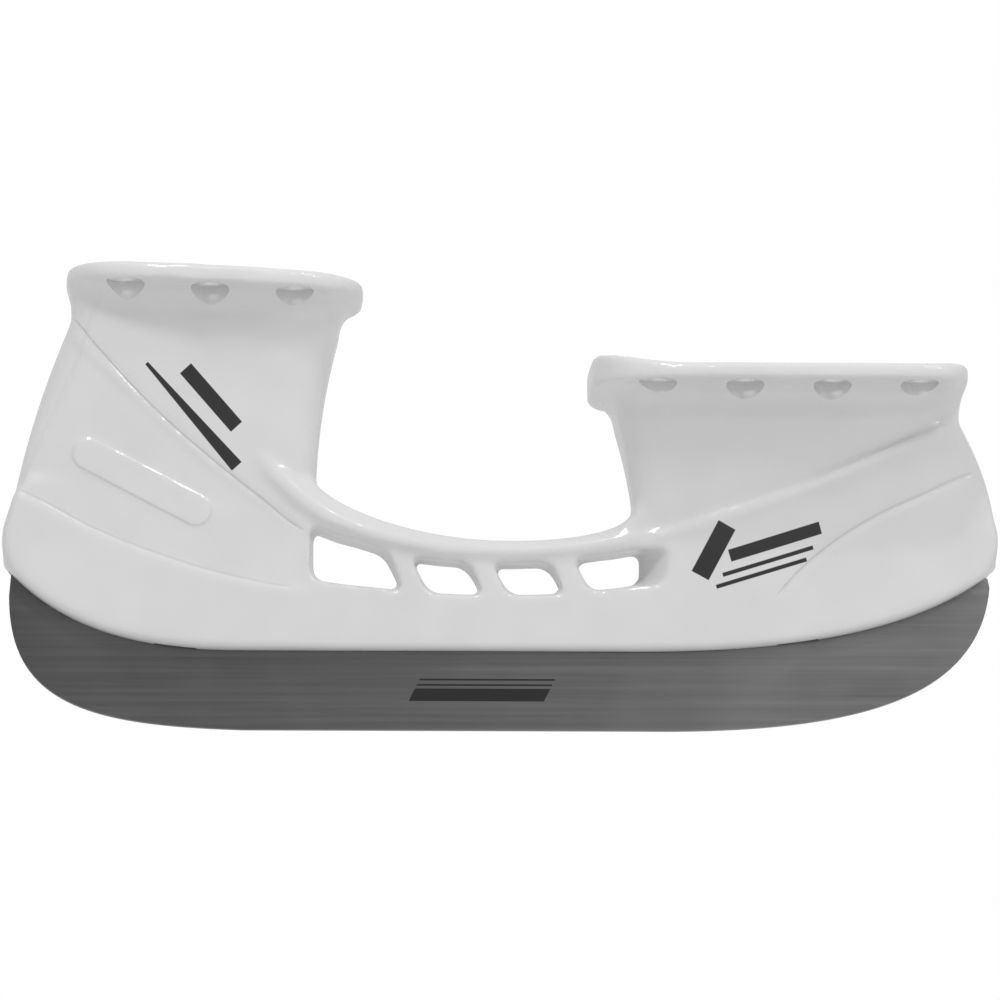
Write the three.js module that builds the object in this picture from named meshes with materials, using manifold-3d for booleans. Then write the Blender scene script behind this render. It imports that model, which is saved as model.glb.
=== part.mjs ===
// An ice-hockey blade holder with its steel runner, as it is bolted under one skate boot.
// The holder is one nylon moulding: a hollow heel tower, a hollow front tower, a bridge with
// four windows and a keel whose slot takes the runner. Two T-bolts hook into the keyholes of
// the runner's tabs, and the nuts on them, reached from inside the towers, pull the runner up.
// Millimetres. X runs from heel to toe, Y across the skate, Z up; the ice is at Z = 0.
import * as THREE from "three";
import { mergeVertices } from "three/addons/utils/BufferGeometryUtils.js";
import Module from "manifold-3d";

const wasm = await Module();
wasm.setup();

// ---- Driving dimensions ----------------------------------------------------------------
const LENGTH = 221; // holder, heel end to toe end
const REAR = -LENGTH / 2; // X of the heel end
const TOE = LENGTH / 2; // X of the toe end

const STEEL_SHOWING = 17.5; // runner below the keel at mid-length
const STEEL_IN_SLOT = 8; // runner above the keel's lower edge
const STEEL_THICKNESS = 3;
const RUNNER_INSET = 1.7; // runner's ends inside the holder's ends

const KEEL_HALF_WIDTH = 5; // at the keel's lower edge
const KEEL_SPREAD = 0.115; // half-width gained per mm of height
const KEEL_EDGE_ROUND = 1.6;
const BRIDGE_TOP = 41.8; // lowest point of the bridge's upper edge
const BRIDGE_DIP = 2; // X of that point
const KEEL_FLAT_REAR = 52; // straight lower edge starts here, in from the heel end
const KEEL_FLAT_FRONT = 80; // and ends here, in from the toe end
const KEEL_END_RISE = 17; // the keel's ends above its lower edge

const TOWER_FOOT = 36; // where the towers' own sections start, inside the keel
const SHELF_TOP = 50; // floor of both towers' hollows, on which the bolts bear
const WALL = 2.8;
const RIB_THICKNESS = 2;

const HEEL = {
  plateTop: 101.5, // upper face at the plate's rear end
  pitch: -0.048, // fall of the plate towards the toe, mm per mm
  plateLength: 66,
  plateSetback: 14, // plate's rear end, in from the heel end
  plateHalfWidth: 29,
  plateThickness: 3.8,
  flareHeight: 7.5, // fillet under the plate
  neckRear: 1.2, // neck's rear end, in from the plate's
  neckFront: 5.4,
  neckHalfWidth: 18,
  footRear: 0.3, // foot's rear end, in from the heel end
  footFront: 70,
  footHalfWidth: 6.8,
  rearBow: -2.2,
  frontBow: -2.2,
  squarenessRear: 3.4,
  squarenessFront: 3.4,
  tabSetback: 38.5, // runner tab and bolt, in from the heel end
  ribOffset: 17, // cross ribs in the hollow, either side of the bolt
  rivets: 3, // a side
  rivetPitch: 18.6,
  rivetShift: 1.3, // of the row, from the neck's middle towards the toe
  rivetHalfGauge: 23.6,
};
const FRONT = {
  plateTop: 78.2,
  pitch: 0,
  plateLength: 83,
  plateSetback: 7.7,
  plateHalfWidth: 34,
  plateThickness: 3.4,
  flareHeight: 7,
  neckRear: 5.8,
  neckFront: 1.2,
  neckHalfWidth: 22,
  footRear: 80.5, // foot's rear end, in from the toe end
  footFront: 0.3,
  footHalfWidth: 6.8,
  rearBow: 1.2,
  frontBow: 2.8,
  squarenessRear: 4.2,
  squarenessFront: 7,
  tabSetback: 44.5,
  ribOffset: 18,
  rivets: 4,
  rivetPitch: 19.2,
  rivetShift: -0.9,
  rivetHalfGauge: 27.8,
  soleDish: 5, // how far the plate's rear end turns up to meet the boot's sole
  soleFlat: 44, // length of the flat part of that plate
};
const RIVET_HOLE = 4.6;
const RIVET_SEAT = 8.4; // flat seat for the rivet's washer, cut into the fillet
const RIVET_SEAT_DEPTH = 0.1; // above the plate's lower edge

const WINDOWS = 4;
const WINDOW_FLOOR = 30; // lower edge of the windows, at the middle of the bridge
const WINDOW_CEILING = 36.2; // their upper edge, under the bridge's lowest point
const WINDOW_FLOOR_RISE = 2.9; // gained towards both ends
const WINDOW_CEILING_RISE = 5.6;
const WINDOW_PAST_HEEL_FOOT = 1; // first window's end, under the heel tower
const WINDOW_PAST_FRONT_FOOT = 0.8;
const WINDOW_RIB = 6; // thickness along the bridge, at the mid-plane
const WINDOW_RIBS_MIDDLE = -2.8; // X of the middle rib
const WINDOW_RIB_PITCH = 0.249; // of the windows' whole length
const WINDOW_RIB_LEAN = 4; // top of a rib towards the heel
const WINDOW_ROUND = 2;
const WINDOW_DRAFT = 0.1; // opening gained per mm out from the mid-plane
const WINDOW_TOE_DRAFT = 0.8; // the same, at the toe end of the last window

const TAB_LENGTH = 18;
const SHELF_THICKNESS = 6.4; // nylon between the tabs and the washers
const TAB_TOP = SHELF_TOP - SHELF_THICKNESS;
const EYE_DEPTH = 7; // from the tabs' upper edge to the axis of the T-bolts' crossbars
const EYE_HEIGHT = TAB_TOP - EYE_DEPTH;
const BOLT = 5; // M5
const BOLT_SHOWING = 1.8; // above the nut
const CROSSBAR = 8; // diameter
const CROSSBAR_LENGTH = 5.6;
const NUT = 8; // across flats
const NUT_HEIGHT = 4.7;
const WASHER = 10;
const WASHER_THICKNESS = 1;
const SPRING_WASHER = 8.8;
const SPRING_WASHER_THICKNESS = 1.3;
const SPRING_WASHER_SPLIT = 0.9;
const CLEARANCE = 0.3; // between pieces that slide or pass through each other
const SEAT_GAP = 0.1; // between faces that turn or lift off each other

const AROUND = 32; // facets round a tower
const ABOVE_ALL = 120; // height that clears the whole part

// ---- Solids ----------------------------------------------------------------------------
function solid(geometry) {
  const loose = geometry.index ? geometry.toNonIndexed() : geometry;
  loose.deleteAttribute("normal");
  loose.deleteAttribute("uv");
  const merged = mergeVertices(loose, 1e-4);
  return new wasm.Manifold(
    new wasm.Mesh({
      numProp: 3,
      vertProperties: merged.attributes.position.array,
      triVerts: new Uint32Array(merged.index.array),
    }),
  );
}

function geometryOf(made) {
  const mesh = made.getMesh();
  const geometry = new THREE.BufferGeometry();
  geometry.setAttribute("position", new THREE.BufferAttribute(mesh.vertProperties, 3));
  geometry.setIndex(new THREE.BufferAttribute(mesh.triVerts, 1));
  geometry.computeVertexNormals();
  return geometry;
}

function moveVertices(geometry, place) {
  const points = geometry.attributes.position;
  const v = new THREE.Vector3();
  for (let i = 0; i < points.count; i++) {
    v.fromBufferAttribute(points, i);
    place(v);
    points.setXYZ(i, v.x, v.y, v.z);
  }
  return geometry;
}

// A side outline, drawn in X and Z, extruded evenly to both sides of the mid-plane.
function slab(outline, width, bevel = 0) {
  const geometry = new THREE.ExtrudeGeometry(outline, {
    depth: width - 2 * bevel,
    curveSegments: 9,
    bevelEnabled: bevel > 0,
    bevelThickness: bevel,
    bevelSize: bevel,
    bevelOffset: -bevel,
    bevelSegments: 2,
  });
  geometry.translate(0, 0, -(width - 2 * bevel) / 2);
  return geometry.rotateX(Math.PI / 2);
}

function upright(diameter, bottom, top, x, y, facets = 16) {
  const geometry = new THREE.CylinderGeometry(
    diameter / 2,
    diameter / 2,
    top - bottom,
    facets,
  );
  return geometry.rotateX(Math.PI / 2).translate(x, y, (top + bottom) / 2);
}

function block(x0, x1, halfWidth, z0, z1) {
  const geometry = new THREE.BoxGeometry(x1 - x0, 2 * halfWidth, z1 - z0);
  return geometry.translate((x0 + x1) / 2, 0, (z0 + z1) / 2);
}

const signedPower = (value, power) =>
  Math.abs(value) < 1e-6 ? 0 : Math.sign(value) * Math.abs(value) ** power;

// A closed loft through flat superelliptic sections, lowest first.
function loft(sections) {
  const levels = sections.length - 1;
  const geometry = new THREE.CylinderGeometry(1, 1, 1, AROUND, levels);
  geometry.rotateX(Math.PI / 2);
  return moveVertices(geometry, (v) => {
    const s = sections[Math.round((v.z + 0.5) * levels)];
    const squareness = v.x > 0 ? s.squarenessFront : s.squarenessRear;
    const reach = (s.front - s.rear) / 2;
    const fromCentre = reach * signedPower(v.x, 2 / squareness);
    v.x = (s.front + s.rear) / 2 + fromCentre;
    v.y = s.halfWidth * signedPower(v.y, 2 / squareness);
    v.z = s.z + (s.pitch ?? 0) * (v.x - s.rear);
  });
}

// ---- The towers ------------------------------------------------------------------------
const heelPlateRear = REAR + HEEL.plateSetback;
const frontPlateFront = TOE - FRONT.plateSetback;

function towerEnds(tower) {
  const isHeel = tower === HEEL;
  const plateRear = isHeel ? heelPlateRear : frontPlateFront - tower.plateLength;
  const plateFront = plateRear + tower.plateLength;
  return {
    plateRear,
    plateFront,
    footRear: isHeel ? REAR + tower.footRear : TOE - tower.footRear,
    footFront: isHeel ? REAR + tower.footFront : TOE - tower.footFront,
    neckRear: plateRear + tower.neckRear,
    neckFront: plateFront - tower.neckFront,
    plateBottom: tower.plateTop - tower.plateThickness,
    tab: isHeel ? REAR + tower.tabSetback : TOE - tower.tabSetback,
  };
}

const lerp = THREE.MathUtils.lerp;

// The leaning wall of a tower, from its foot in the keel to the neck under its plate.
function wallSections(tower, inset = 0, from = TOWER_FOOT) {
  const ends = towerEnds(tower);
  const neck = ends.plateBottom - tower.flareHeight;
  const start = (from - TOWER_FOOT) / (neck - TOWER_FOOT);
  return [0, 0.22, 0.46, 0.73, 1].map((step) => {
    const u = lerp(start, 1, step);
    const bulge = 4 * u * (1 - u);
    return {
      z: lerp(TOWER_FOOT, neck, u),
      rear: lerp(ends.footRear, ends.neckRear, u) + tower.rearBow * bulge + inset,
      front: lerp(ends.footFront, ends.neckFront, u) + tower.frontBow * bulge - inset,
      halfWidth: lerp(tower.footHalfWidth, tower.neckHalfWidth, u ** 1.3) - inset,
      squarenessRear: 4.4,
      squarenessFront: 4.4,
      pitch: tower.pitch * u ** 2,
    };
  });
}

// The fillet that opens out from the neck to the plate, and the plate's own edge.
function plateSections(tower) {
  const ends = towerEnds(tower);
  const neck = ends.plateBottom - tower.flareHeight;
  const flare = [30, 55, 75, 90].map((degrees) => {
    const angle = THREE.MathUtils.degToRad(degrees);
    const out = 1 - Math.cos(angle);
    return {
      z: neck + tower.flareHeight * Math.sin(angle),
      rear: lerp(ends.neckRear, ends.plateRear, out),
      front: lerp(ends.neckFront, ends.plateFront, out),
      halfWidth: lerp(tower.neckHalfWidth, tower.plateHalfWidth, out),
      squarenessRear: lerp(4.4, tower.squarenessRear, out),
      squarenessFront: lerp(4.4, tower.squarenessFront, out),
      pitch: tower.pitch,
    };
  });
  return [...flare, { ...flare.at(-1), z: ABOVE_ALL }];
}

function towerOuter(tower) {
  return solid(loft([...wallSections(tower), ...plateSections(tower)]));
}

// The hollow, open at the top, down to the shelf.
function towerHollow(tower) {
  const walls = wallSections(tower, WALL, SHELF_TOP);
  walls[0].pitch = 0;
  return solid(loft([...walls, { ...walls.at(-1), z: ABOVE_ALL }]));
}

// Round room for the washers and the nut, where the hollow's foot is narrower than they are.
function washerRoom(x) {
  return solid(upright(WASHER + 2 * CLEARANCE, washerSeat - SEAT_GAP / 2, studTop + 1, x, 0));
}

// Cross ribs tie the two walls together, clear of the bolt's chamber.
function towerRibs(tower) {
  const { tab, plateBottom } = towerEnds(tower);
  const top = plateBottom - tower.flareHeight;
  const outer = solid(loft(wallSections(tower, WALL / 2)));
  return [-1, 1].map((side) => {
    const x = tab + side * tower.ribOffset;
    const wall = block(
      x - RIB_THICKNESS / 2,
      x + RIB_THICKNESS / 2,
      tower.neckHalfWidth,
      SHELF_TOP - 1,
      top,
    );
    return outer.intersect(solid(wall));
  });
}

// The boot's sole: what the plates' upper faces are cut to.
function heelSole() {
  const ends = towerEnds(HEEL);
  const fall = HEEL.pitch * HEEL.plateLength;
  const outline = new THREE.Shape();
  outline.moveTo(ends.plateRear - 5, HEEL.plateTop - HEEL.pitch * 5);
  outline.lineTo(ends.plateFront + 5, HEEL.plateTop + fall + HEEL.pitch * 5);
  outline.lineTo(ends.plateFront + 5, ABOVE_ALL + 10);
  outline.lineTo(ends.plateRear - 5, ABOVE_ALL + 10);
  return solid(slab(outline, 4 * HEEL.plateHalfWidth));
}

function frontSole() {
  const ends = towerEnds(FRONT);
  const middle = (ends.plateRear + ends.plateFront) / 2 + 3;
  const flatRear = middle - FRONT.soleFlat / 2;
  const flatFront = middle + FRONT.soleFlat / 2;
  const turnedUp = FRONT.plateTop + FRONT.soleDish;
  const outline = new THREE.Shape();
  outline.moveTo(ends.plateRear - 3, turnedUp);
  outline.quadraticCurveTo(
    (ends.plateRear - 3 + flatRear) / 2,
    FRONT.plateTop,
    flatRear,
    FRONT.plateTop,
  );
  outline.lineTo(flatFront, FRONT.plateTop);
  outline.quadraticCurveTo(
    (ends.plateFront + 3 + flatFront) / 2,
    FRONT.plateTop,
    ends.plateFront + 3,
    FRONT.plateTop + FRONT.soleDish / 5,
  );
  outline.lineTo(ends.plateFront + 3, ABOVE_ALL + 10);
  outline.lineTo(ends.plateRear - 3, ABOVE_ALL + 10);
  return solid(slab(outline, 4 * FRONT.plateHalfWidth));
}

function rivetPlaces(tower) {
  const ends = towerEnds(tower);
  const middle = (ends.neckRear + ends.neckFront) / 2 + tower.rivetShift;
  const first = middle - (tower.rivetPitch * (tower.rivets - 1)) / 2;
  const places = [];
  for (const side of [-1, 1])
    for (let i = 0; i < tower.rivets; i++)
      places.push({
        x: first + i * tower.rivetPitch,
        y: side * tower.rivetHalfGauge,
      });
  return places;
}

function rivetCuts(tower) {
  const ends = towerEnds(tower);
  return rivetPlaces(tower).flatMap(({ x, y }) => {
    const under = ends.plateBottom + tower.pitch * (x - ends.plateRear);
    const neck = under - tower.flareHeight;
    return [
      solid(upright(RIVET_SEAT, neck - 4, under + RIVET_SEAT_DEPTH, x, y)),
      solid(upright(RIVET_HOLE, neck, ABOVE_ALL, x, y, 12)),
    ];
  });
}

// ---- The keel and the bridge -----------------------------------------------------------
const keelHalfWidth = (z) => KEEL_HALF_WIDTH + KEEL_SPREAD * (z - STEEL_SHOWING);

function keelOutline() {
  const heel = towerEnds(HEEL);
  const front = towerEnds(FRONT);
  const bottom = STEEL_SHOWING;
  const tucked = SHELF_TOP + 5; // upper edge inside the towers' walls
  const end = bottom + KEEL_END_RISE;
  const outline = new THREE.Shape();
  outline.moveTo(REAR + KEEL_FLAT_REAR, bottom);
  outline.lineTo(TOE - KEEL_FLAT_FRONT, bottom);
  outline.bezierCurveTo(TOE - 44, bottom, TOE - 18.5, bottom + 5, TOE - 2.2, end);
  outline.quadraticCurveTo(TOE + 0.5, end + 4, TOE - 0.2, end + 10);
  outline.lineTo(TOE - 2.4, end + 17.5);
  outline.lineTo(TOE - 6, tucked);
  outline.lineTo(front.footRear + 3, tucked);
  outline.lineTo(front.footRear - 0.6, SHELF_TOP - 1);
  outline.bezierCurveTo(
    front.footRear - 1,
    BRIDGE_TOP + 2.2,
    BRIDGE_DIP + 14,
    BRIDGE_TOP,
    BRIDGE_DIP,
    BRIDGE_TOP,
  );
  outline.bezierCurveTo(
    BRIDGE_DIP - 24,
    BRIDGE_TOP,
    heel.footFront - 0.2,
    BRIDGE_TOP + 9,
    heel.footFront - 1.6,
    tucked + 1,
  );
  outline.lineTo(REAR + 6, tucked + 1);
  outline.lineTo(REAR + 2.6, end + 17);
  outline.lineTo(REAR + 0.4, end + 10);
  outline.quadraticCurveTo(REAR - 0.6, end + 4.5, REAR + 1.9, end);
  outline.bezierCurveTo(REAR + 11.5, bottom + 7, REAR + 25.5, bottom, REAR + KEEL_FLAT_REAR, bottom);
  return outline;
}

function keel() {
  const geometry = slab(keelOutline(), 2 * KEEL_HALF_WIDTH, KEEL_EDGE_ROUND);
  moveVertices(geometry, (v) => {
    v.y *= keelHalfWidth(v.z) / KEEL_HALF_WIDTH;
  });
  return solid(geometry);
}

// The windows' length at the mid-plane, and how far x lies from the middle rib (0 to 1).
const windowStart = towerEnds(HEEL).footFront - WINDOW_PAST_HEEL_FOOT;
const windowEnd = towerEnds(FRONT).footRear + WINDOW_PAST_FRONT_FOOT;
const halfSpan = (windowEnd - windowStart) / 2;
const offFrom = (middle, x) => Math.abs(x - middle) / halfSpan;
const windowFloor = (x) => WINDOW_FLOOR + WINDOW_FLOOR_RISE * offFrom(WINDOW_RIBS_MIDDLE, x) ** 2;
const windowCeiling = (x) => WINDOW_CEILING + WINDOW_CEILING_RISE * offFrom(BRIDGE_DIP, x) ** 2.1;

// A closed outline with rounded corners. Where three points run nearly straight it bends
// through the middle one without a round.
function roundedOutline(points, round) {
  const outline = new THREE.Shape();
  points.forEach((corner, i) => {
    const into = corner.clone().sub(points.at(i - 1));
    const away = points[(i + 1) % points.length].clone().sub(corner);
    const bends = Math.abs(into.cross(away)) > 0.4 * into.length() * away.length();
    const start = corner.clone().sub(into.setLength(bends ? round : 0));
    const end = corner.clone().add(away.setLength(round));
    if (i === 0) outline.moveTo(start.x, start.y);
    else outline.lineTo(start.x, start.y);
    if (bends) outline.quadraticCurveTo(corner.x, corner.y, end.x, end.y);
  });
  return outline;
}

// The bridge's windows: upright at both ends, divided by ribs that lean towards the heel.
// Each one is narrowest at the mid-plane and opens towards both faces.
function windowCuts() {
  const pitch = 2 * halfSpan * WINDOW_RIB_PITCH;
  const depth = 2 * keelHalfWidth(BRIDGE_TOP) + 6;
  return Array.from({ length: WINDOWS }, (_, i) => {
    const isFirst = i === 0;
    const isLast = i === WINDOWS - 1;
    const ribBefore = WINDOW_RIBS_MIDDLE + (i - WINDOWS / 2) * pitch + WINDOW_RIB / 2;
    const ribAfter = WINDOW_RIBS_MIDDLE + (i + 1 - WINDOWS / 2) * pitch - WINDOW_RIB / 2;
    const left = isFirst ? windowStart : ribBefore;
    const right = isLast ? windowEnd : ribAfter;
    const leanLeft = isFirst ? 0 : WINDOW_RIB_LEAN / 2;
    const leanRight = isLast ? 0 : WINDOW_RIB_LEAN / 2;
    const middle = (left + right) / 2;
    const corners = [
      [left + leanLeft, windowFloor(left)],
      [middle, windowFloor(middle)],
      [right + leanRight, windowFloor(right)],
      [right - leanRight, windowCeiling(right)],
      [middle, windowCeiling(middle)],
      [left - leanLeft, windowCeiling(left)],
    ].map(([x, z]) => new THREE.Vector2(x, z));
    const geometry = new THREE.ExtrudeGeometry(roundedOutline(corners, WINDOW_ROUND), {
      depth,
      steps: 2,
      curveSegments: 3,
      bevelEnabled: false,
    });
    geometry.translate(0, 0, -depth / 2);
    const midHeight = (windowFloor(middle) + windowCeiling(middle)) / 2;
    moveVertices(geometry, (v) => {
      const out = Math.abs(v.z);
      const flares = isLast && v.x > middle + pitch / 4;
      v.x += out * (flares ? WINDOW_TOE_DRAFT : WINDOW_DRAFT * Math.sign(v.x - middle));
      v.y += out * WINDOW_DRAFT * Math.sign(v.y - midHeight);
    });
    return solid(geometry.rotateX(Math.PI / 2));
  });
}

// ---- The runner ------------------------------------------------------------------------
const tabs = [towerEnds(HEEL).tab, towerEnds(FRONT).tab];
const eyeRadius = CROSSBAR / 2 + CLEARANCE;
const notchHalf = BOLT / 2 + CLEARANCE;

// Along the upper edge, from toe to heel, with each tab's keyhole for its T-bolt.
function addTab(outline, x, shoulder) {
  const mouth = Math.asin(notchHalf / eyeRadius);
  outline.lineTo(x + TAB_LENGTH / 2, shoulder);
  outline.lineTo(x + TAB_LENGTH / 2, TAB_TOP - 1.5);
  outline.lineTo(x + TAB_LENGTH / 2 - 1.5, TAB_TOP);
  outline.lineTo(x + notchHalf, TAB_TOP);
  outline.absarc(x, EYE_HEIGHT, eyeRadius, Math.PI / 2 - mouth, Math.PI / 2 + mouth, true);
  outline.lineTo(x - notchHalf, TAB_TOP);
  outline.lineTo(x - TAB_LENGTH / 2 + 1.5, TAB_TOP);
  outline.lineTo(x - TAB_LENGTH / 2, TAB_TOP - 1.5);
  outline.lineTo(x - TAB_LENGTH / 2, shoulder);
}

function runnerOutline() {
  const heel = REAR + RUNNER_INSET;
  const toe = TOE - RUNNER_INSET;
  const top = STEEL_SHOWING + STEEL_IN_SLOT;
  const outline = new THREE.Shape();
  outline.moveTo(heel + 52, 0);
  outline.lineTo(toe - 77, 0);
  outline.bezierCurveTo(toe - 28, -0.4, toe - 2.2, 8, toe, STEEL_SHOWING + 14.5);
  outline.lineTo(toe - 0.4, STEEL_SHOWING + 16.6);
  outline.lineTo(toe - 5, STEEL_SHOWING + 20);
  outline.bezierCurveTo(toe - 16, STEEL_SHOWING + 14, toe - 24, top + 2.4, tabs[1] + 12, top + 1);
  addTab(outline, tabs[1], top + 1);
  outline.lineTo(toe - 72, top);
  outline.lineTo(heel + 50, top);
  addTab(outline, tabs[0], top + 1);
  outline.bezierCurveTo(
    heel + 18,
    top + 3,
    heel + 12,
    STEEL_SHOWING + 14,
    heel + 5,
    STEEL_SHOWING + 19.4,
  );
  outline.lineTo(heel + 0.4, STEEL_SHOWING + 16.6);
  outline.lineTo(heel, STEEL_SHOWING + 12);
  outline.bezierCurveTo(heel - 0.1, 4.5, heel + 20, 0.9, heel + 52, 0);
  return outline;
}

function runner() {
  return solid(slab(runnerOutline(), STEEL_THICKNESS));
}

// The runner's path into the keel: the same upper edge, open all the way down.
function runnerSlot() {
  const clear = CLEARANCE;
  const heel = REAR + RUNNER_INSET - clear;
  const toe = TOE - RUNNER_INSET + clear;
  const top = STEEL_SHOWING + STEEL_IN_SLOT + 1 + clear;
  const outline = new THREE.Shape();
  outline.moveTo(heel, -5);
  outline.lineTo(toe, -5);
  outline.lineTo(toe, STEEL_SHOWING + 17 + clear);
  outline.lineTo(toe - 5, STEEL_SHOWING + 20.4 + clear);
  outline.bezierCurveTo(
    toe - 15.5,
    STEEL_SHOWING + 15.4 + clear,
    toe - 24,
    top + 2.4,
    tabs[1] + 12,
    top + 0.6,
  );
  outline.lineTo(tabs[1], top);
  outline.lineTo(tabs[0], top);
  outline.lineTo(tabs[0] - 12, top + 0.6);
  outline.bezierCurveTo(
    heel + 18,
    top + 3,
    heel + 12,
    STEEL_SHOWING + 15.4 + clear,
    heel + 5,
    STEEL_SHOWING + 20.4 + clear,
  );
  outline.lineTo(heel, STEEL_SHOWING + 17 + clear);
  return solid(slab(outline, STEEL_THICKNESS + 2 * clear));
}

// Above the slot, room for one tab and for its T-bolt's crossbar and stud.
function tabPocket(x) {
  const barRoom = CROSSBAR / 2 + 2 * CLEARANCE;
  const tabRoom = TAB_LENGTH / 2 + CLEARANCE;
  return [
    solid(block(x - tabRoom, x + tabRoom, STEEL_THICKNESS / 2 + CLEARANCE, 0, TAB_TOP + CLEARANCE)),
    solid(block(x - barRoom, x + barRoom, CROSSBAR_LENGTH / 2 + CLEARANCE, 0, EYE_HEIGHT + barRoom)),
    solid(upright(BOLT + 2 * CLEARANCE, EYE_HEIGHT, SHELF_TOP + 5, x, 0)),
  ];
}

// ---- Fasteners -------------------------------------------------------------------------
const washerSeat = SHELF_TOP + SEAT_GAP;
const springSeat = washerSeat + WASHER_THICKNESS;
const nutSeat = springSeat + SPRING_WASHER_THICKNESS + SEAT_GAP;
const studTop = nutSeat + NUT_HEIGHT + BOLT_SHOWING;

function turned(profile, x, facets = 20) {
  const points = profile.map(([radius, z]) => new THREE.Vector2(radius, z));
  return solid(new THREE.LatheGeometry(points, facets).rotateX(Math.PI / 2).translate(x, 0, 0));
}

function bored(body, bottom, top, x) {
  return body.subtract(solid(upright(BOLT + 2 * CLEARANCE, bottom - 1, top + 1, x, 0, 20)));
}

function tBolt(x) {
  const chamfer = 0.6;
  const stud = [
    [0, EYE_HEIGHT],
    [BOLT / 2, EYE_HEIGHT],
    [BOLT / 2, studTop - chamfer],
    [BOLT / 2 - chamfer, studTop],
    [0, studTop],
  ];
  const crossbar = new THREE.CylinderGeometry(CROSSBAR / 2, CROSSBAR / 2, CROSSBAR_LENGTH, 24);
  return turned(stud, x).add(solid(crossbar.translate(x, 0, EYE_HEIGHT)));
}

function washer(x) {
  const disc = solid(upright(WASHER, washerSeat, springSeat, x, 0, 28));
  return bored(disc, washerSeat, springSeat, x);
}

function springWasher(x) {
  const top = springSeat + SPRING_WASHER_THICKNESS;
  const ring = solid(upright(SPRING_WASHER, springSeat, top, x, 0, 28));
  const split = new THREE.BoxGeometry(SPRING_WASHER, SPRING_WASHER_SPLIT, 4);
  split.translate(SPRING_WASHER / 2, 0, 0).rotateX(THREE.MathUtils.degToRad(25));
  split.translate(x, 0, (springSeat + top) / 2);
  return bored(ring, springSeat, top, x).subtract(solid(split));
}

// A hex nut: six flats, its corners turned off above and below.
function nut(x) {
  const top = nutSeat + NUT_HEIGHT;
  const corner = NUT / 2 / Math.cos(Math.PI / 6);
  const hex = solid(upright(2 * corner, nutSeat, top, x, 0, 6));
  const chamfer = 0.5;
  const blank = [
    [0, nutSeat],
    [corner - chamfer, nutSeat],
    [corner + 0.1, nutSeat + chamfer],
    [corner + 0.1, top - chamfer],
    [corner - chamfer, top],
    [0, top],
  ];
  return bored(hex.intersect(turned(blank, x, 30)), nutSeat, top, x);
}

// ---- The holder ------------------------------------------------------------------------
function holder() {
  const towers = [HEEL, FRONT];
  let body = keel();
  for (const tower of towers) body = body.add(towerOuter(tower));
  for (const cut of windowCuts()) body = body.subtract(cut);
  for (const tower of towers) body = body.subtract(towerHollow(tower));
  for (const x of tabs) body = body.subtract(washerRoom(x));
  for (const tower of towers) for (const rib of towerRibs(tower)) body = body.add(rib);
  body = body.subtract(heelSole()).subtract(frontSole());
  for (const tower of towers) for (const cut of rivetCuts(tower)) body = body.subtract(cut);
  body = body.subtract(runnerSlot());
  for (const x of tabs) for (const cut of tabPocket(x)) body = body.subtract(cut);
  return body;
}

// ---- Materials and the finished group --------------------------------------------------
const nylon = new THREE.MeshStandardMaterial({ color: 0xd6d6d4, roughness: 0.3, metalness: 0 });
const steel = new THREE.MeshStandardMaterial({ color: 0x6b6b6b, roughness: 0.4, metalness: 1 });
const zinc = new THREE.MeshStandardMaterial({ color: 0x9a9c9e, roughness: 0.35, metalness: 1 });

const part = new THREE.Group();
function addNode(name, made, material) {
  const mesh = new THREE.Mesh(geometryOf(made), material);
  mesh.name = name;
  part.add(mesh);
}

addNode("holder", holder(), nylon);
addNode("runner", runner(), steel);
for (const [end, x] of [
  ["rear", tabs[0]],
  ["front", tabs[1]],
]) {
  addNode(end + "_t_bolt", tBolt(x), zinc);
  addNode(end + "_washer", washer(x), zinc);
  addNode(end + "_spring_washer", springWasher(x), zinc);
  addNode(end + "_nut", nut(x), zinc);
}

export default part;
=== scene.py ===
"""Looks for an ice-hockey blade holder and its steel runner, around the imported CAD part.

Metres, in the CAD part's frame: X from heel to toe, Y across, Z up from the ice.
Sizes in the functions below are millimetres until a mesh is finished, then scaled to metres.
"""

import math

import bmesh
import bpy
import numpy as np
from mathutils import Matrix, Vector
from mathutils.geometry import interpolate_bezier


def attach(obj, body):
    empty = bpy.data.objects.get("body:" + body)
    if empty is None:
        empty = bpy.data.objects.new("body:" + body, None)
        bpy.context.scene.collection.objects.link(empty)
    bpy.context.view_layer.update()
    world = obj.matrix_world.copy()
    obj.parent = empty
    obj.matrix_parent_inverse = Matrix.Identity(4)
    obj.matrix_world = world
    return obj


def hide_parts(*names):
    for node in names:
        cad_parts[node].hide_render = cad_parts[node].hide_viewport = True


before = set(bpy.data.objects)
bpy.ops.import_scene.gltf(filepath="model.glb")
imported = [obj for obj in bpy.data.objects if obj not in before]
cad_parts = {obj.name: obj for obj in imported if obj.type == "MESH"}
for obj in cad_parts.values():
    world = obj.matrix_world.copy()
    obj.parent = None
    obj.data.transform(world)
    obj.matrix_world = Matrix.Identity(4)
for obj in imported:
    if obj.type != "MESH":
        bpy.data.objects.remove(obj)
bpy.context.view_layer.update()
MM = 0.001

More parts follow.
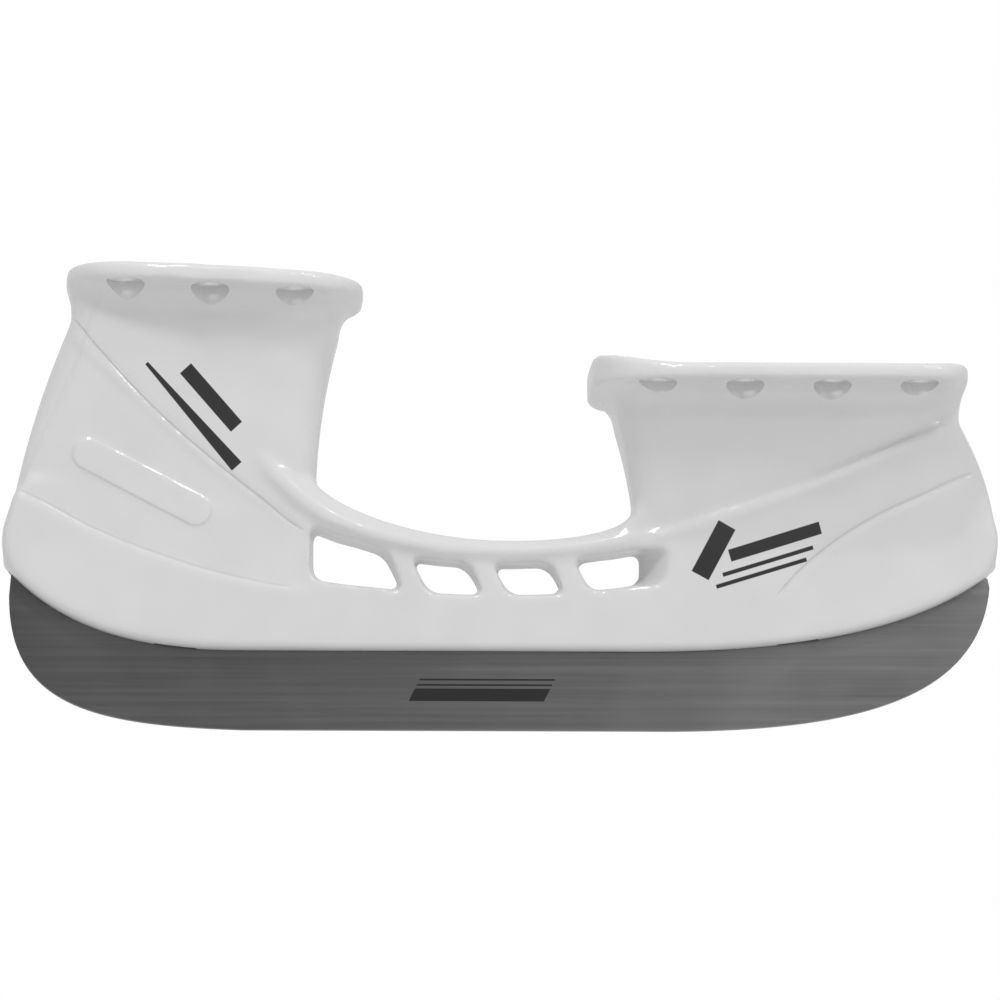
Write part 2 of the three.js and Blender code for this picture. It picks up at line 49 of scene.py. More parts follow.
# ---- Sizes carried over from the part, in millimetres ------------------------------------
LENGTH = 221.0
REAR, TOE = -LENGTH / 2, LENGTH / 2
KEEL_BOTTOM = 17.5
KEEL_HALF_WIDTH = 5.0
KEEL_SPREAD = 0.115
BRIDGE_TOP = 41.8
BRIDGE_DIP = 2.0
TOWER_FOOT = 36.0
SHELF_TOP = 50.0
WALL = 2.8
TOWER_SQUARE = 4.4  # power of the towers' superelliptic rings; 2 is an ellipse
STEEL_HALF_THICKNESS = 1.5
CLEARANCE = 0.3
SLOT_HALF_WIDTH = STEEL_HALF_THICKNESS + CLEARANCE
TABS = (-72.0, 66.0)
TAB_TOP = 43.6
EYE_HEIGHT = 36.6
TAB_HALF_WIDTH = 9.0
EYE_RADIUS = 4.3
RUNNER_TOP = KEEL_BOTTOM + 8  # between its tabs
RUNNER_END_GAP = 1.7  # from each end of the part
RIVET_HOLE = 4.6
RIVET_SEAT = 8.4
RIVET_SEAT_DEPTH = 0.1
RIB_THICKNESS = 2.0
# Cutters reach this far sideways and up, well past the part.
WIDE = 60.0
ABOVE = 140.0
HOLDER_VOXEL = 0.72
HOLDER_TRIANGLES = 176000
CREASE_ANGLE = 40  # degrees; sharper edges aren't shaded smooth

WINDOWS = dict(
    floor=30.0, floor_rise=2.9, ceiling=36.2, ceiling_rise=5.6, half_span=36.15,
    first_end=-41.4, last_end=30.6, rib=6.4, lean=4.0, pitch=18.0, middle_rib=-2.8,
    round=2.2, draft=0.1, toe_draft=0.8, shrink=0.15,
)
HEEL = dict(
    top=101.5, pitch=-0.048, plate=(-96.5, -30.5), half=29.0, thick=3.8, flare=7.5,
    neck=(-95.3, -35.9), neck_half=18.0, foot=(-110.2, -40.5), foot_half=6.8,
    bow=(-2.2, -2.2), square=(3.4, 3.4), tab=-72.0, rib=17.0,
    rivets=[-83.2, -64.6, -46.0], gauge=23.6,
)
FRONT = dict(
    top=78.2, pitch=0.0, plate=(19.8, 102.8), half=34.0, thick=3.4, flare=7.0,
    neck=(25.6, 101.6), neck_half=22.0, foot=(30.0, 110.2), foot_half=6.8,
    bow=(1.2, 2.8), square=(4.2, 7.0), tab=66.0, rib=18.0,
    rivets=[33.75, 52.95, 72.15, 91.35], gauge=27.8,
)


def mix(a, b, t):
    return a + (b - a) * t


def smooth(low, high, x):
    t = np.clip((x - low) / (high - low), 0, 1)
    return t * t * (3 - 2 * t)


# ---- Mesh helpers ------------------------------------------------------------------------
def piece(name, bm):
    """A new object whose mesh is bm, still in millimetres."""
    mesh = bpy.data.meshes.new(name)
    bm.to_mesh(mesh)
    bm.free()
    made = bpy.data.objects.new(name, mesh)
    bpy.context.collection.objects.link(made)
    return made


def apply_modifiers(obj):
    graph = bpy.context.evaluated_depsgraph_get()
    mesh = bpy.data.meshes.new_from_object(obj.evaluated_get(graph))
    obj.modifiers.clear()
    old, obj.data = obj.data, mesh
    bpy.data.meshes.remove(old)


def cut_or_join(obj, tools, operation):
    """Boolean with several closed tools at once; the tools are used up."""
    group = bpy.data.collections.new("tools")
    for tool in tools:
        group.objects.link(tool)
    boolean = obj.modifiers.new("boolean", "BOOLEAN")
    boolean.operation = operation
    boolean.operand_type = "COLLECTION"
    boolean.collection = group
    boolean.solver = "MANIFOLD"
    apply_modifiers(obj)
    for tool in tools:
        bpy.data.objects.remove(tool)
    bpy.data.collections.remove(group)


def remesh(obj, voxel):
    grid = obj.modifiers.new("remesh", "REMESH")
    grid.mode = "VOXEL"
    grid.voxel_size = voxel
    apply_modifiers(obj)


def relax(obj, times):
    softer = obj.modifiers.new("relax", "SMOOTH")
    softer.factor, softer.iterations = 0.5, times
    apply_modifiers(obj)


def thin(obj, most_triangles):
    """Fewer faces where the surface is nearly flat."""
    obj.data.calc_loop_triangles()
    fewer = obj.modifiers.new("thin", "DECIMATE")
    fewer.ratio = most_triangles / len(obj.data.loop_triangles)
    apply_modifiers(obj)


def finish_piece(obj, body, material, replaces=()):
    """Metres, smooth shading, material and the body that it moves with."""
    obj.data.transform(Matrix.Scale(MM, 4))
    for face in obj.data.polygons:
        face.use_smooth = True
    obj.data.set_sharp_from_angle(angle=math.radians(CREASE_ANGLE))
    obj.data.materials.clear()
    obj.data.materials.append(material)
    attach(obj, body)
    if replaces:
        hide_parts(*replaces)
    return obj


def prism(name, outline, half_width, bevel=0.0, segments=3):
    """A side outline of (x, z) points, as wide on both sides of the mid-plane."""
    bm = bmesh.new()
    ring = [bm.verts.new((x, -half_width, z)) for x, z in outline]
    face = bm.faces.new(ring)
    swept = bmesh.ops.extrude_face_region(bm, geom=[face])
    moved = [v for v in swept["geom"] if isinstance(v, bmesh.types.BMVert)]
    bmesh.ops.translate(bm, verts=moved, vec=(0, 2 * half_width, 0))
    bmesh.ops.recalc_face_normals(bm, faces=bm.faces)
    if bevel:
        rims = [e for e in bm.edges if abs(e.verts[0].co.y - e.verts[1].co.y) < 1e-6]
        bmesh.ops.bevel(
            bm, geom=rims, offset=bevel, offset_type="OFFSET", affect="EDGES",
            segments=segments, profile=0.5, material=-1, clamp_overlap=True,
        )
    return piece(name, bm)


def curve_points(*beziers, steps=14):
    """(x, z) points along joined Bezier arcs, each given by its four control points."""
    points = []
    for arc in beziers:
        corners = [Vector((x, z, 0)) for x, z in arc]
        points += [(p.x, p.y) for p in interpolate_bezier(*corners, steps)[:-1]]
    return points


def signed_power(value, power):
    return 0.0 if abs(value) < 1e-9 else math.copysign(abs(value) ** power, value)


def loft(name, sections, around=96):
    """A closed stack of superelliptic rings, lowest first."""
    bm = bmesh.new()
    circle = bmesh.ops.create_circle(bm, cap_ends=False, radius=1, segments=around)["verts"]
    unit = [(v.co.x, v.co.y) for v in circle]
    ring_edges = list(bm.edges)
    rings = [circle]
    for _ in sections[1:]:
        grown = bmesh.ops.extrude_edge_only(bm, edges=ring_edges)["geom"]
        ring_edges = [
            e for e in grown
            if isinstance(e, bmesh.types.BMEdge) and all(len(v.link_edges) <= 3 for v in e.verts)
            and not any(v in rings[-1] for v in e.verts)
        ]
        fresh = [g for g in grown if isinstance(g, bmesh.types.BMVert)]
        rings.append(fresh)
    for ring, s in zip(rings, sections):
        for v, (ux, uy) in zip(ring, unit):
            power = 2 / (s["square"][1] if ux > 0 else s["square"][0])
            x = mix(s["x"][0], s["x"][1], 0.5 + 0.5 * signed_power(ux, power))
            v.co = (x, s["half"] * signed_power(uy, power), s["z"] + s["pitch"] * (x - s["x"][0]))
    bmesh.ops.holes_fill(bm, edges=[e for e in bm.edges if e.is_boundary], sides=0)
    bmesh.ops.recalc_face_normals(bm, faces=bm.faces)
    return piece(name, bm)


# ---- The holder's shape ------------------------------------------------------------------
def wall_sections(tower, inset=0.0, start=TOWER_FOOT, levels=14):
    """A tower's rings from start up to its neck, each moved in by inset."""
    neck = tower["top"] - tower["thick"] - tower["flare"]
    first = (start - TOWER_FOOT) / (neck - TOWER_FOOT)
    made = []
    for i in range(levels + 1):
        u = mix(first, 1.0, i / levels)
        bulge = 4 * u * (1 - u)
        made.append(dict(
            z=mix(TOWER_FOOT, neck, u),
            x=(
                mix(tower["foot"][0], tower["neck"][0], u) + tower["bow"][0] * bulge + inset,
                mix(tower["foot"][1], tower["neck"][1], u) + tower["bow"][1] * bulge - inset,
            ),
            half=mix(tower["foot_half"], tower["neck_half"], u**1.3) - inset,
            square=(TOWER_SQUARE, TOWER_SQUARE),
            pitch=tower["pitch"] * u * u,
        ))
    return made


def plate_sections(tower):
    """The rings of the flare under a plate and of the plate's edge, past its top."""
    neck = tower["top"] - tower["thick"] - tower["flare"]
    made = []
    for degrees in (12, 24, 36, 48, 58, 68, 78, 90):
        angle = math.radians(degrees)
        out = 1 - math.cos(angle)
        made.append(dict(
            z=neck + tower["flare"] * math.sin(angle),
            x=(
                mix(tower["neck"][0], tower["plate"][0], out),
                mix(tower["neck"][1], tower["plate"][1], out),
            ),
            half=mix(tower["neck_half"], tower["half"], out),
            square=tuple(mix(TOWER_SQUARE, end, out) for end in tower["square"]),
            pitch=tower["pitch"],
        ))
    return made + [dict(made[-1], z=120.0)]


def keel_outline():
    rear, toe, low = REAR, TOE, KEEL_BOTTOM
    inside = SHELF_TOP + 5
    under = curve_points(
        ((rear + 52, low), (rear + 90, low), (toe - 120, low), (toe - 80, low)),
        ((toe - 80, low), (toe - 44, low), (toe - 18.5, low + 5), (toe - 2.2, low + 17)),
        ((toe - 2.2, low + 17), (toe - 0.3, low + 19.7), (toe + 0.3, low + 23),
         (toe - 0.2, low + 27)),
        steps=22,
    )
    over = [(toe - 2.4, low + 34.5), (toe - 6, inside), (FRONT["foot"][0] + 3, inside)]
    arch = curve_points(
        ((29.4, SHELF_TOP - 1), (29.0, BRIDGE_TOP + 2.2), (BRIDGE_DIP + 14, BRIDGE_TOP),
         (BRIDGE_DIP, BRIDGE_TOP)),
        ((BRIDGE_DIP, BRIDGE_TOP), (BRIDGE_DIP - 24, BRIDGE_TOP), (-40.7, BRIDGE_TOP + 9),
         (-42.1, inside + 1)),
        steps=22,
    )
    back = [(rear + 6, inside + 1), (rear + 2.6, low + 34)]
    heel = curve_points(
        ((rear + 0.4, low + 27), (rear - 0.3, low + 23), (rear + 0.2, low + 19.7),
         (rear + 1.9, low + 17)),
        ((rear + 1.9, low + 17), (rear + 11.5, low + 7), (rear + 25.5, low), (rear + 52, low)),
        steps=22,
    )
    return under + over + arch + back + heel


def widen(obj):
    """The keel opens out with height."""
    for v in obj.data.vertices:
        v.co.y *= 1 + KEEL_SPREAD * (v.co.z - KEEL_BOTTOM) / KEEL_HALF_WIDTH


# Lines where the moulding's side changes height, as (x, z) at the outer face.
SHOULDER = [
    (-110.5, 41.2), (30, 41.2), (38, 44.5), (53, 49), (69, 54.5), (92, 64), (103, 69),
    (110.5, 72),
]
HEEL_LEDGE = [
    (-110.5, 53.5), (-108, 52.6), (-102, 50), (-91, 44.2), (-77.5, 38.8), (-61, 33.8),
    (-42, 30.6), (110.5, 30.6),
]
HEEL_RIDGE = [(-110.5, 42), (-106.3, 52.5), (-94.1, 79), (-86.9, 94.5), (110, 96)]
HEEL_GROOVE = [
    (-110.5, 102), (-95.2, 90.2), (-90.2, 84), (-77.5, 70.5), (-64.2, 59), (-53.1, 50.4),
    (-44.3, 43.8), (-40, 42.2), (110, 42),
]
TOE_GROOVE = [
    (-110, 20), (50, 20), (60.3, 28.6), (65.3, 34.2), (73.1, 40.8), (83, 46.8), (93, 51.3),
    (104.1, 56.2), (110.4, 58),
]
HEEL_BAND = [
    (-98, 88), (-90, 79.5), (-77.5, 69), (-66, 58.5), (-53, 49.5), (-44, 43.5), (-40, 42),
]
DEEPEST = 0.35
# Grooves: line, depth and the X where it starts and ends.
GROOVES = (
    (HEEL_GROOVE, DEEPEST, -96, -43), (TOE_GROOVE, DEEPEST, 60.5, 105),
    (HEEL_LEDGE, 0.22, -107.5, -46),
)
# The plain raised plate on the heel and how far it stands out.
PLATE_HEIGHT = 0.35
PLATE = dict(x=-79.5, z=54.0, half_length=17.0, half_height=3.6, tilt=math.radians(-27))
# Printed bars: X, Z, angle in degrees, length, width and how fast the width shrinks.
PRINTS = (
    (-78.6, 79.7, -48, 30, 0.9, -0.07), (-70.0, 78.6, -48, 17, 3.4, 0.0),
    (44.0, 33.8, 62, 12.5, 4.4, 0.0), (50.5, 38.2, 17, 21, 2.8, 0.0),
    (49.0, 34.0, 17, 21, 1.0, 0.0), (47.6, 31.4, 17, 21, 1.0, 0.0),
)


def swell(x, z):
    """How far the side stands out beyond the plain lofted shape, at arrays of places."""
    line = np.interp(x, *zip(*SHOULDER))
    fade = smooth(24, 44, x) * smooth(8, 30, z)
    under = (1 - smooth(line - 0.9, line + 1.1, z)) * smooth(line - 34, line - 4, z)
    crest = np.exp(-(((z - line + 1.6) / 1.5) ** 2))
    out = (1.5 * under + 0.35 * crest) * fade
    ledge = np.interp(x, *zip(*HEEL_LEDGE))
    out += 0.55 * (1 - smooth(ledge - 0.7, ledge + 0.5, z)) * smooth(36, 48, -x)
    band = np.interp(x, *zip(*HEEL_BAND))
    raised = smooth(band - 0.6, band + 0.8, z) * (1 - smooth(band + 14, band + 26, z))
    return out + 0.5 * raised * smooth(36, 46, -x)


def relief(x, z):
    """Grooves, the crisp edge of the front shoulder and the plain raised plate on the heel."""
    out = np.zeros_like(x)
    for line, depth, first, last in GROOVES:
        away = np.abs(z - np.interp(x, *zip(*line)))
        ends = smooth(first, first + 2, x) * (1 - smooth(last - 2, last, x))
        out -= depth * np.clip(1 - away / 1.1, 0, 1) * ends
    line = np.interp(x, *zip(*SHOULDER))
    edge = (1 - smooth(line - 0.5, line + 0.5, z)) * smooth(line - 7, line - 0.8, z)
    out += 0.55 * edge * smooth(62, 74, x) * (1 - smooth(92, 99, x))
    dx, dz = x - PLATE["x"], z - PLATE["z"]
    turn = PLATE["tilt"]
    along = dx * math.cos(turn) + dz * math.sin(turn)
    across = dz * math.cos(turn) - dx * math.sin(turn)
    past = np.maximum(np.abs(along) - PLATE["half_length"] + PLATE["half_height"], 0)
    inside = PLATE["half_height"] - np.hypot(past, across)
    return out + PLATE_HEIGHT * smooth(-0.3, 0.5, inside)


def shape_sides(obj, height):
    """Move the outer sides out by height(x, z)."""
    mesh = obj.data
    places, normals = np.empty(len(mesh.vertices) * 3), np.empty(len(mesh.vertices) * 3)
    mesh.vertices.foreach_get("co", places)
    mesh.vertices.foreach_get("normal", normals)
    places, normals = places.reshape(-1, 3), normals.reshape(-1, 3)
    side = np.sign(places[:, 1])
    weight = np.clip(normals[:, 1] * side * 1.2, 0, 1)
    places[:, 1] += side * height(places[:, 0], places[:, 2]) * weight
    mesh.vertices.foreach_set("co", places.ravel())
    mesh.update()


def rail(name):
    """The rounded beam along the arch's edge, from the heel tower across to the front one."""
    path = curve_points(
        ((-60, 69), (-52, 57), (-46, 51), (-38, 46.6)),
        ((-38, 46.6), (-24, 40.2), (-10, 39.2), (2, 39.2)),
        ((2, 39.2), (14, 39.2), (26, 41.2), (40, 44.6)),
        steps=24,
    )
    bm = bmesh.new()
    ring = bmesh.ops.create_circle(bm, cap_ends=False, radius=1, segments=24)["verts"]
    unit = [(v.co.x, v.co.y) for v in ring]
    edges = list(bm.edges)
    rings = [ring]
    for _ in path[1:]:
        grown = bmesh.ops.extrude_edge_only(bm, edges=edges)["geom"]
        fresh = [g for g in grown if isinstance(g, bmesh.types.BMVert)]
        edges = [
            e for e in grown
            if isinstance(e, bmesh.types.BMEdge) and e.verts[0] in fresh and e.verts[1] in fresh
        ]
        rings.append(fresh)
    for i, (x, z) in enumerate(path):
        ahead, behind = path[min(i + 1, len(path) - 1)], path[max(i - 1, 0)]
        along = Vector((ahead[0] - behind[0], ahead[1] - behind[1])).normalized()
        half_width = 8.9 + 2.0 * smooth(2, -50, x)
        half_height = 2.45 + 1.2 * smooth(-25, -50, x)
        for v, (ux, uy) in zip(rings[i], unit):
            up = half_height * signed_power(uy, 0.8)
            v.co = (x - along.y * up, half_width * signed_power(ux, 0.75), z + along.x * up)
    bmesh.ops.holes_fill(bm, edges=[e for e in bm.edges if e.is_boundary], sides=0)
    bmesh.ops.recalc_face_normals(bm, faces=bm.faces)
    return piece(name, bm)


def heel_sole():
    """What the boot's flat heel takes away from the top of the heel tower."""
    rear, front = HEEL["plate"]
    ends = rear - 8, front + 8
    low = [(x, HEEL["top"] + HEEL["pitch"] * (x - rear)) for x in ends]
    return prism("heel_sole", low + [(ends[1], ABOVE), (ends[0], ABOVE)], WIDE)


def front_sole():
    """What the boot's dished front takes away from the top of the front tower."""
    rear, front = FRONT["plate"]
    flat0, flat1, low, dish = 42.3, 86.3, FRONT["top"], 5.0
    outline = curve_points(
        ((rear - 3, low + dish), (mix(rear - 3, flat0, 0.34), mix(low + dish, low, 0.66)),
         (mix(rear - 3, flat0, 0.66), low), (flat0, low)),
        ((flat0, low), (55, low), (75, low), (flat1, low)),
        ((flat1, low), (mix(flat1, front + 3, 0.34), low),
         (mix(flat1, front + 3, 0.7), low + 0.35), (front + 3, low + dish / 5)),
    )
    outline += [(front + 3, low + 1), (front + 3, ABOVE), (rear - 3, ABOVE)]
    return prism("front_sole", outline, WIDE)


def window_floor(x):
    off = abs(x - WINDOWS["middle_rib"]) / WINDOWS["half_span"]
    return WINDOWS["floor"] + WINDOWS["floor_rise"] * off**2 + WINDOWS["shrink"]


def window_ceiling(x):
    off = abs(x - BRIDGE_DIP) / WINDOWS["half_span"]
    return WINDOWS["ceiling"] + WINDOWS["ceiling_rise"] * off**2.1 - WINDOWS["shrink"]


def window_cutter(index):
    """One window: narrowest at the mid-plane, opening towards both faces."""
    first, last = index == 0, index == 3
    before = WINDOWS["middle_rib"] + (index - 2) * WINDOWS["pitch"]
    after = WINDOWS["middle_rib"] + (index - 1) * WINDOWS["pitch"]
    left = WINDOWS["first_end"] if first else before + WINDOWS["rib"] / 2
    right = WINDOWS["last_end"] if last else after - WINDOWS["rib"] / 2
    lean_left = 0 if first else WINDOWS["lean"] / 2
    lean_right = 0 if last else WINDOWS["lean"] / 2
    along = [i / 5 for i in range(6)]
    low = [
        (mix(left + lean_left, right + lean_right, t), window_floor(mix(left, right, t)))
        for t in along
    ]
    high = [
        (mix(right - lean_right, left - lean_left, t), window_ceiling(mix(right, left, t)))
        for t in along
    ]
    middle = (left + right) / 2
    mid_height = (window_floor(middle) + window_ceiling(middle)) / 2
    reach, slices = 13, 8
    bm = bmesh.new()
    ring = [bm.verts.new((x, -reach, z)) for x, z in low + high]
    face = bm.faces.new(ring)
    corners = [ring[0], ring[5], ring[6], ring[11]]
    bmesh.ops.bevel(
        bm, geom=corners, offset=WINDOWS["round"], offset_type="OFFSET", affect="VERTICES",
        segments=5, profile=0.5, material=-1, clamp_overlap=False,
    )
    start = bm.faces[:]
    for _ in range(slices):
        swept = bmesh.ops.extrude_face_region(bm, geom=start)
        moved = [v for v in swept["geom"] if isinstance(v, bmesh.types.BMVert)]
        start = [f for f in swept["geom"] if isinstance(f, bmesh.types.BMFace)]
        bmesh.ops.translate(bm, verts=moved, vec=(0, 2 * reach / slices, 0))
    between = [
        f for f in bm.faces
        if len(f.verts) > 4 and abs(abs(f.calc_center_median().y) - reach) > 0.1
    ]
    bmesh.ops.delete(bm, geom=between, context="FACES_ONLY")
    for v in bm.verts:
        out = abs(v.co.y)
        if last and v.co.x > middle + WINDOWS["pitch"] / 4:
            v.co.x += WINDOWS["toe_draft"] * out
        else:
            v.co.x += math.copysign(WINDOWS["draft"] * out, v.co.x - middle)
        v.co.z += math.copysign(WINDOWS["draft"] * out, v.co.z - mid_height)
    bmesh.ops.recalc_face_normals(bm, faces=bm.faces)
    return piece("window_cutter", bm)


def upright(name, x, y, diameter, bottom, top, segments=40):
    bm = bmesh.new()
    bmesh.ops.create_cone(
        bm, cap_ends=True, cap_tris=False, segments=segments, radius1=diameter / 2,
        radius2=diameter / 2, depth=top - bottom,
        matrix=Matrix.Translation((x, y, (top + bottom) / 2)),
    )
    return piece(name, bm)


def box(name, x0, x1, half_width, z0, z1):
    return prism(name, [(x0, z0), (x1, z0), (x1, z1), (x0, z1)], half_width)


def rivet_cutters(tower):
    """A flat seat for each rivet's washer, cut up into the fillet, and the rivet's hole."""
    under = tower["top"] - tower["thick"]
    neck = under - tower["flare"]
    made = []
    for side in (-1, 1):
        for x in tower["rivets"]:
            seat = under + tower["pitch"] * (x - tower["plate"][0]) + RIVET_SEAT_DEPTH
            y = side * tower["gauge"]
            made.append(upright("seat", x, y, RIVET_SEAT, neck - 4, seat))
            made.append(upright("hole", x, y, RIVET_HOLE, neck, 115, 28))
    return made


def hollow(tower):
    """A tower's inside, open at the top, with two cross ribs left standing."""
    walls = wall_sections(tower, WALL, SHELF_TOP, levels=8)
    walls[0]["pitch"] = 0.0
    made = loft("hollow", walls + [dict(walls[-1], z=130.0)])
    top = tower["top"] - tower["thick"] - tower["flare"]
    ribs = []
    for side in (-1, 1):
        x = tower["tab"] + side * tower["rib"]
        half = RIB_THICKNESS / 2
        ribs.append(box("rib", x - half, x + half, WIDE, SHELF_TOP - 6, top))
    cut_or_join(made, ribs, "DIFFERENCE")
    return made


def runner_slot():
    low, clear = KEEL_BOTTOM, CLEARANCE
    rear, toe = REAR + RUNNER_END_GAP - clear, TOE - RUNNER_END_GAP + clear
    top = RUNNER_TOP + 1 + clear
    outline = [(rear, -5), (toe, -5), (toe, low + 17 + clear), (toe - 5, low + 20.4 + clear)]
    outline += curve_points(
        ((toe - 5, low + 20.4 + clear), (toe - 15.5, low + 15.4 + clear), (toe - 24, top + 2.4),
         (78, top + 0.6)),
    )[1:]
    outline += [(TABS[1], top), (TABS[0], top)]
    outline += curve_points(
        ((-84, top + 0.6), (rear + 18, top + 3), (rear + 12, low + 15.4 + clear),
         (rear + 5, low + 20.4 + clear)),
    )
    outline += [(rear + 5, low + 20.4 + clear), (rear, low + 17 + clear)]
    return prism("slot", outline, SLOT_HALF_WIDTH)


def tab_pockets(x):
    """Room for one tab, for the T-bolt's crossbar in it and for the bolt's stud above."""
    half = TAB_HALF_WIDTH + CLEARANCE
    return [
        box("tab_room", x - half, x + half, SLOT_HALF_WIDTH, 0, TAB_TOP + CLEARANCE),
        box("bar_room", x - 4.6, x + 4.6, 3.1, 0, EYE_HEIGHT + 4.6),
        upright("stud_room", x, 0, 5.6, EYE_HEIGHT, SHELF_TOP + 5, 32),
    ]


def make_holder():
    body = prism("holder_moulding", keel_outline(), KEEL_HALF_WIDTH, bevel=1.5, segments=4)
    widen(body)
    shapes = [
        loft("heel_tower", wall_sections(HEEL) + plate_sections(HEEL)),
        loft("front_tower", wall_sections(FRONT) + plate_sections(FRONT)),
        rail("rail"),
    ]
    cut_or_join(shapes[0], [heel_sole()], "DIFFERENCE")
    cut_or_join(shapes[1], [front_sole()], "DIFFERENCE")
    cut_or_join(body, shapes, "UNION")
    remesh(body, HOLDER_VOXEL)
    relax(body, 5)
    shape_sides(body, swell)
    relax(body, 2)
    cutters = [window_cutter(i) for i in range(4)]
    cutters += [hollow(HEEL), hollow(FRONT)]
    cut_or_join(body, cutters, "DIFFERENCE")
    remesh(body, HOLDER_VOXEL)
    relax(body, 4)
    shape_sides(body, relief)
    thin(body, HOLDER_TRIANGLES)
    cutters = [runner_slot()]
    for x in TABS:
        cutters += tab_pockets(x)
    for tower in (HEEL, FRONT):
        cutters += rivet_cutters(tower)
    cut_or_join(body, cutters, "DIFFERENCE")
    return body


# ---- The runner --------------------------------------------------------------------------
def make_runner():
    heel, toe = REAR + RUNNER_END_GAP, TOE - RUNNER_END_GAP
    low, top = KEEL_BOTTOM, RUNNER_TOP
    outline = curve_points(
        ((heel + 52, 0), (heel + 75, 0), (toe - 100, 0), (toe - 77, 0)),
        ((toe - 77, 0), (toe - 28, -0.4), (toe - 2.2, 8), (toe, low + 14.5)),
        steps=40,
    )
    outline += [(toe, low + 14.5), (toe - 0.4, low + 16.6)]
    outline += curve_points(
        ((toe - 5, low + 20), (toe - 16, low + 14), (toe - 24, top + 2.4), (78, top + 1)),
    )
    outline += tab_outline(TABS[1], top + 1)
    outline += [(toe - 72, top), (heel + 50, top)]
    outline += tab_outline(TABS[0], top + 1)
    outline += curve_points(
        ((TABS[0] - TAB_HALF_WIDTH, top + 1), (heel + 18, top + 3), (heel + 12, low + 14),
         (heel + 5, low + 19.4)),
    )[1:]
    outline += [(heel + 5, low + 19.4), (heel + 0.4, low + 16.6)]
    outline += curve_points(
        ((heel, low + 12), (heel - 0.1, 4.5), (heel + 20, 0.9), (heel + 52, 0)),
        steps=40,
    )
    return prism("runner_blank", outline, STEEL_HALF_THICKNESS, bevel=0.18, segments=2)


def tab_outline(x, shoulder):
    """Over one tab from its toe side, round the keyhole that takes the T-bolt's crossbar."""
    radius, notch, corner = EYE_RADIUS, 2.8, 1.5
    side, top = TAB_HALF_WIDTH, TAB_TOP
    mouth = math.asin(notch / radius)
    start, end = math.pi / 2 - mouth, math.pi / 2 + mouth - 2 * math.pi
    arc = [mix(start, end, i / 26) for i in range(27)]
    return (
        [(x + side, shoulder), (x + side, top - corner), (x + side - corner, top)]
        + [(x + notch, top)]
        + [(x + radius * math.cos(a), EYE_HEIGHT + radius * math.sin(a)) for a in arc]
        + [(x - notch, top)]
        + [(x - side + corner, top), (x - side, top - corner), (x - side, shoulder)]
    )


# ---- Materials ---------------------------------------------------------------------------
def linear(hex_colour):
    """An sRGB hex colour as linear RGBA."""
    channels = [int(hex_colour[i : i + 2], 16) / 255 for i in (1, 3, 5)]
    return [c / 12.92 if c <= 0.04045 else ((c + 0.055) / 1.055) ** 2.4 for c in channels] + [1.0]


def new_material(name):
    material = bpy.data.materials.new(name)
    material.use_nodes = True
    tree = material.node_tree
    shader = next(n for n in tree.nodes if n.type == "BSDF_PRINCIPLED")
    return material, tree, shader


MATH = "ShaderNodeMath"


def add(tree, kind, inputs=(), **settings):
    """A node of this kind with its settings. Its inputs, by name or in order, are values,
    sockets to link from, or nodes whose first output is linked.
    """
    node = tree.nodes.new(kind)
    for key, value in settings.items():
        setattr(node, key, value)
    for key, value in inputs.items() if isinstance(inputs, dict) else enumerate(inputs):
        if isinstance(value, bpy.types.Node):
            value = value.outputs[0]
        if isinstance(value, bpy.types.NodeSocket):
            tree.links.new(value, node.inputs[key])
        else:
            node.inputs[key].default_value = value
    return node


